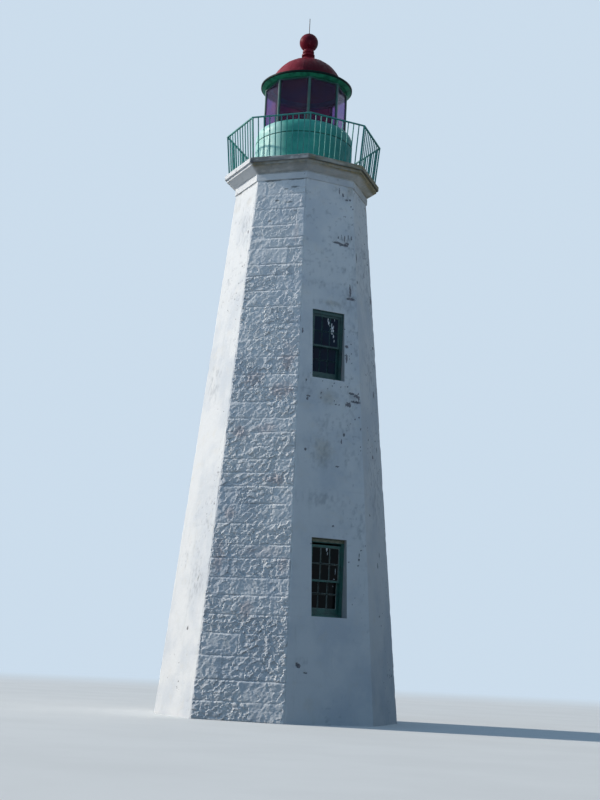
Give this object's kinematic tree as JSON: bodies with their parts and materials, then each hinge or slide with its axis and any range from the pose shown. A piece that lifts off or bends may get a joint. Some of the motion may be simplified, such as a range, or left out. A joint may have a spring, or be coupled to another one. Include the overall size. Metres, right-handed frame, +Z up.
{
  "type": "octagonal stone lighthouse",
  "caption": "Tapered octagonal stone light tower with sash windows, a splayed cornice, a railed gallery, a round parapet and a glazed lantern under a domed roof.",
  "frame": {"origin": "centre of the tower's octagonal foot, on the ground", "axes": "+Z up along the tower's axis; -Y out of the side with two windows; +X to the right of that side"},
  "size_m": [5.416, 5.416, 18.1467],
  "materials": {
    "whitewashed_stone": "flaking limewash over sandstone",
    "bare_stone": "worn sandstone",
    "parapet_paint": "satin sea-green paint on masonry",
    "railing_paint": "satin sea-green paint",
    "lantern_paint": "satin sea-green paint",
    "roof_paint": "dull weathered red paint",
    "bare_iron": "dark, slightly rusted",
    "joinery_paint": "dark green paint on wood",
    "window_glass": "old window glass",
    "lantern_glass": "clear lantern glass"
  },
  "bodies": {
    "root": {"wall_front": "whitewashed_stone", "wall_front_right": "whitewashed_stone", "wall_right": "whitewashed_stone", "wall_back_right": "whitewashed_stone", "wall_back": "whitewashed_stone", "wall_back_left": "whitewashed_stone", "wall_left": "whitewashed_stone", "wall_front_left": "whitewashed_stone", "railing_front": "railing_paint", "railing_front_right": "railing_paint", "railing_right": "railing_paint", "railing_back_right": "railing_paint", "railing_back": "railing_paint", "railing_back_left": "railing_paint", "railing_left": "railing_paint", "railing_front_left": "railing_paint", "neck_course": "whitewashed_stone", "cornice": "whitewashed_stone", "gallery_deck": "whitewashed_stone", "ground_floor": "bare_stone", "door_threshold": "bare_stone", "deck_hatch": "lantern_paint", "railing_posts": "railing_paint", "parapet_wall": "parapet_paint", "parapet_shoulder": "parapet_paint", "gallery_door": "lantern_paint", "lantern_sill": "lantern_paint", "lantern_mullions": "lantern_paint", "lantern_head": "lantern_paint", "roof_eave": "lantern_paint", "lantern_glass": "lantern_glass", "roof_dome": "roof_paint", "vent_collar": "roof_paint", "vent_ball": "roof_paint", "lightning_rod": "bare_iron", "front_lower_frame": "joinery_paint", "front_lower_sashes": "joinery_paint", "front_lower_glass": "window_glass", "front_upper_frame": "joinery_paint", "front_upper_sashes": "joinery_paint", "front_upper_glass": "window_glass", "back_upper_frame": "joinery_paint", "back_upper_sashes": "joinery_paint", "back_upper_glass": "window_glass", "door_frame": "joinery_paint", "door_leaf": "joinery_paint", "door_hardware": "bare_iron"}
  },
  "joints": []
}
